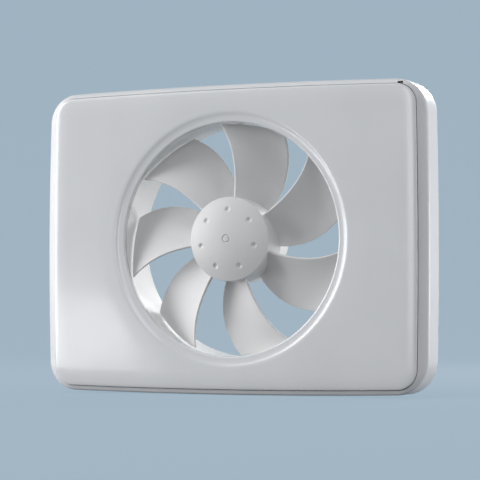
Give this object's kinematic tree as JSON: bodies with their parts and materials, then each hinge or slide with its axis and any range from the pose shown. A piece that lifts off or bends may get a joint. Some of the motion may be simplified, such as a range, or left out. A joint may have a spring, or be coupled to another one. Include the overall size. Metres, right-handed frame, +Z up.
{
  "type": "exhaust fan",
  "caption": "Flat exhaust fan: bowed rectangular front plate with a rolled round opening, swept impeller with a domed hub, shallow housing and a short rear spigot.",
  "frame": {"origin": "on the fan axis in the plane of the wall, where the housing's back rim rests", "axes": "+Y along the fan axis into the wall, the way the air goes, +Z up, +X to the right seen from the front"},
  "size_m": [0.244, 0.0364, 0.1816],
  "materials": {
    "white_plastic": "glossy moulded",
    "blade_plastic": "high gloss moulded",
    "inner_plastic": "satin moulded",
    "dark_plastic": "satin",
    "cable_sheath": "satin",
    "rubber": "matt",
    "foam": "open cell",
    "steel": "zinc plated",
    "core_steel": "laminated",
    "copper": "enamelled wire",
    "brass": "turned",
    "ferrite": "bonded ferrite",
    "circuit_board": "solder mask"
  },
  "bodies": {
    "fan_body": {"housing": "white_plastic", "duct_ring": "inner_plastic", "wall_seal": "foam", "bearing_tube": "brass", "bearing_front": "steel", "bearing_rear": "steel", "stator_core": "core_steel", "stator_coil_1": "copper", "stator_coil_2": "copper", "stator_coil_3": "copper", "stator_coil_4": "copper", "motor_board": "circuit_board", "motor_lead": "cable_sheath", "control_board": "circuit_board", "power_module": "dark_plastic", "capacitor": "dark_plastic", "terminal_block": "inner_plastic", "board_cover": "inner_plastic", "cable_grommet": "rubber", "cable_clamp": "inner_plastic", "duct_screw_1": "steel", "duct_screw_2": "steel", "duct_screw_3": "steel", "duct_screw_4": "steel", "cover_screw_1": "steel", "cover_screw_2": "steel", "clamp_screw_1": "steel", "clamp_screw_2": "steel"},
    "cover": {"front_plate": "white_plastic"},
    "rotor": {"impeller": "blade_plastic", "rotor_cup": "steel", "rotor_magnet": "ferrite", "motor_shaft": "steel", "shaft_clip": "steel"}
  },
  "joints": [
    {"name": "impeller_spin", "type": "hinge", "parent": "fan_body", "child": "rotor", "pos_m": [0, 0, 0], "axis": [0, -1, 0], "continuous": true},
    {"name": "plate_pull", "type": "slide", "parent": "fan_body", "child": "cover", "axis": [0, -1, 0], "range_m": [0, 0.02]}
  ]
}
